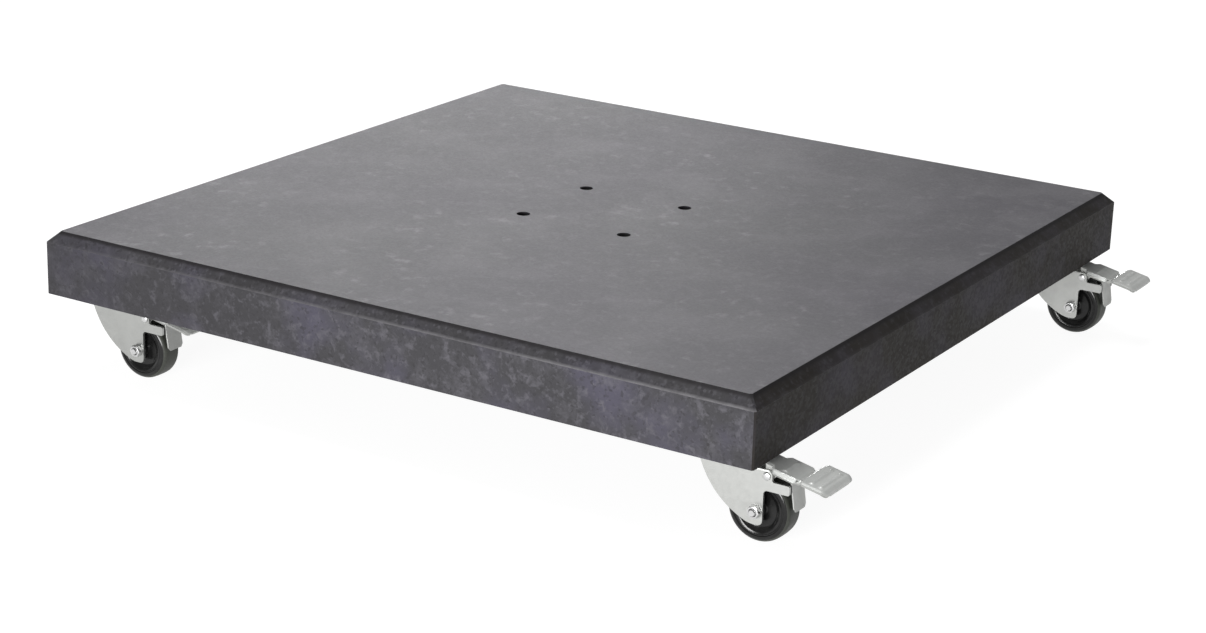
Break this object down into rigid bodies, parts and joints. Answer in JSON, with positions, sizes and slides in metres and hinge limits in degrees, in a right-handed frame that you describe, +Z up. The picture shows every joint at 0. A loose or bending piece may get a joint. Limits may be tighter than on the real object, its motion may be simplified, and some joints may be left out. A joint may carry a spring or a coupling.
{
  "type": "rolling granite ballast slab",
  "caption": "Heavy square granite ballast slab with chamfered top edges and mast bolt holes, carried on braked swivel castors, for weighting a parasol mast.",
  "frame": {"origin": "Centre of the slab's top face, on the axis of the mast that is bolted to it.", "axes": "+Z points up out of the top face; +X and +Y lie along the slab's sides; at rest the castors trail and the brake pedals face -Y, the front. Names read from the front: left is -X."},
  "size_m": [0.75, 0.8049, 0.137],
  "materials": {
    "granite": "honed speckled grey",
    "zinc_plate": "zinc plated",
    "zinc_fork": "zinc plated",
    "zinc_brake": "zinc plated",
    "bright_steel": "bright zinc plated",
    "black_wheel": "gloss black moulding"
  },
  "bodies": {
    "slab": {"granite_slab": "granite", "front_left_mounting_plate": "zinc_plate", "front_left_plate_screw_1": "bright_steel", "front_left_plate_screw_2": "bright_steel", "front_left_plate_screw_3": "bright_steel", "front_left_plate_screw_4": "bright_steel", "front_left_kingpin": "bright_steel", "front_right_mounting_plate": "zinc_plate", "front_right_plate_screw_1": "bright_steel", "front_right_plate_screw_2": "bright_steel", "front_right_plate_screw_3": "bright_steel", "front_right_plate_screw_4": "bright_steel", "front_right_kingpin": "bright_steel", "rear_left_mounting_plate": "zinc_plate", "rear_left_plate_screw_1": "bright_steel", "rear_left_plate_screw_2": "bright_steel", "rear_left_plate_screw_3": "bright_steel", "rear_left_plate_screw_4": "bright_steel", "rear_left_kingpin": "bright_steel", "rear_right_mounting_plate": "zinc_plate", "rear_right_plate_screw_1": "bright_steel", "rear_right_plate_screw_2": "bright_steel", "rear_right_plate_screw_3": "bright_steel", "rear_right_plate_screw_4": "bright_steel", "rear_right_kingpin": "bright_steel"},
    "front_left_turning_fork": {"front_left_fork": "zinc_fork", "front_left_axle_bolt": "bright_steel", "front_left_axle_nut": "bright_steel", "front_left_pedal_pin": "bright_steel"},
    "front_left_bearing_balls": {"front_left_ball_ring": "bright_steel"},
    "front_left_rolling_wheel": {"front_left_wheel": "black_wheel"},
    "front_left_brake": {"front_left_brake_pedal": "zinc_brake", "front_left_brake_shoe": "zinc_brake"},
    "front_right_turning_fork": {"front_right_fork": "zinc_fork", "front_right_axle_bolt": "bright_steel", "front_right_axle_nut": "bright_steel", "front_right_pedal_pin": "bright_steel"},
    "front_right_bearing_balls": {"front_right_ball_ring": "bright_steel"},
    "front_right_rolling_wheel": {"front_right_wheel": "black_wheel"},
    "front_right_brake": {"front_right_brake_pedal": "zinc_brake", "front_right_brake_shoe": "zinc_brake"},
    "rear_left_turning_fork": {"rear_left_fork": "zinc_fork", "rear_left_axle_bolt": "bright_steel", "rear_left_axle_nut": "bright_steel", "rear_left_pedal_pin": "bright_steel"},
    "rear_left_bearing_balls": {"rear_left_ball_ring": "bright_steel"},
    "rear_left_rolling_wheel": {"rear_left_wheel": "black_wheel"},
    "rear_left_brake": {"rear_left_brake_pedal": "zinc_brake", "rear_left_brake_shoe": "zinc_brake"},
    "rear_right_turning_fork": {"rear_right_fork": "zinc_fork", "rear_right_axle_bolt": "bright_steel", "rear_right_axle_nut": "bright_steel", "rear_right_pedal_pin": "bright_steel"},
    "rear_right_bearing_balls": {"rear_right_ball_ring": "bright_steel"},
    "rear_right_rolling_wheel": {"rear_right_wheel": "black_wheel"},
    "rear_right_brake": {"rear_right_brake_pedal": "zinc_brake", "rear_right_brake_shoe": "zinc_brake"}
  },
  "joints": [
    {"name": "front_left_swivel", "type": "hinge", "parent": "slab", "child": "front_left_turning_fork", "pos_m": [-0.328, -0.328, -0.06], "axis": [0, 0, 1], "continuous": true},
    {"name": "front_left_ball_roll", "type": "hinge", "parent": "slab", "child": "front_left_bearing_balls", "pos_m": [-0.328, -0.328, -0.06], "axis": [0, 0, 1], "continuous": true},
    {"name": "front_left_wheel_spin", "type": "hinge", "parent": "front_left_turning_fork", "child": "front_left_rolling_wheel", "pos_m": [-0.328, -0.362, -0.108], "axis": [1, 0, 0], "continuous": true},
    {"name": "front_left_brake_press", "type": "hinge", "parent": "front_left_turning_fork", "child": "front_left_brake", "pos_m": [-0.328, -0.371, -0.0755], "axis": [1, 0, 0], "range_deg": [0, 5]},
    {"name": "front_right_swivel", "type": "hinge", "parent": "slab", "child": "front_right_turning_fork", "pos_m": [0.328, -0.328, -0.06], "axis": [0, 0, 1], "continuous": true},
    {"name": "front_right_ball_roll", "type": "hinge", "parent": "slab", "child": "front_right_bearing_balls", "pos_m": [0.328, -0.328, -0.06], "axis": [0, 0, 1], "continuous": true},
    {"name": "front_right_wheel_spin", "type": "hinge", "parent": "front_right_turning_fork", "child": "front_right_rolling_wheel", "pos_m": [0.328, -0.362, -0.108], "axis": [1, 0, 0], "continuous": true},
    {"name": "front_right_brake_press", "type": "hinge", "parent": "front_right_turning_fork", "child": "front_right_brake", "pos_m": [0.328, -0.371, -0.0755], "axis": [1, 0, 0], "range_deg": [0, 5]},
    {"name": "rear_left_swivel", "type": "hinge", "parent": "slab", "child": "rear_left_turning_fork", "pos_m": [-0.328, 0.328, -0.06], "axis": [0, 0, 1], "continuous": true},
    {"name": "rear_left_ball_roll", "type": "hinge", "parent": "slab", "child": "rear_left_bearing_balls", "pos_m": [-0.328, 0.328, -0.06], "axis": [0, 0, 1], "continuous": true},
    {"name": "rear_left_wheel_spin", "type": "hinge", "parent": "rear_left_turning_fork", "child": "rear_left_rolling_wheel", "pos_m": [-0.328, 0.294, -0.108], "axis": [1, 0, 0], "continuous": true},
    {"name": "rear_left_brake_press", "type": "hinge", "parent": "rear_left_turning_fork", "child": "rear_left_brake", "pos_m": [-0.328, 0.285, -0.0755], "axis": [1, 0, 0], "range_deg": [0, 5]},
    {"name": "rear_right_swivel", "type": "hinge", "parent": "slab", "child": "rear_right_turning_fork", "pos_m": [0.328, 0.328, -0.06], "axis": [0, 0, 1], "continuous": true},
    {"name": "rear_right_ball_roll", "type": "hinge", "parent": "slab", "child": "rear_right_bearing_balls", "pos_m": [0.328, 0.328, -0.06], "axis": [0, 0, 1], "continuous": true},
    {"name": "rear_right_wheel_spin", "type": "hinge", "parent": "rear_right_turning_fork", "child": "rear_right_rolling_wheel", "pos_m": [0.328, 0.294, -0.108], "axis": [1, 0, 0], "continuous": true},
    {"name": "rear_right_brake_press", "type": "hinge", "parent": "rear_right_turning_fork", "child": "rear_right_brake", "pos_m": [0.328, 0.285, -0.0755], "axis": [1, 0, 0], "range_deg": [0, 5]}
  ],
  "couplings": [
    {"joint": "front_left_ball_roll", "follows": "front_left_swivel", "ratio": 0.5},
    {"joint": "front_right_ball_roll", "follows": "front_right_swivel", "ratio": 0.5},
    {"joint": "rear_left_ball_roll", "follows": "rear_left_swivel", "ratio": 0.5},
    {"joint": "rear_right_ball_roll", "follows": "rear_right_swivel", "ratio": 0.5}
  ]
}
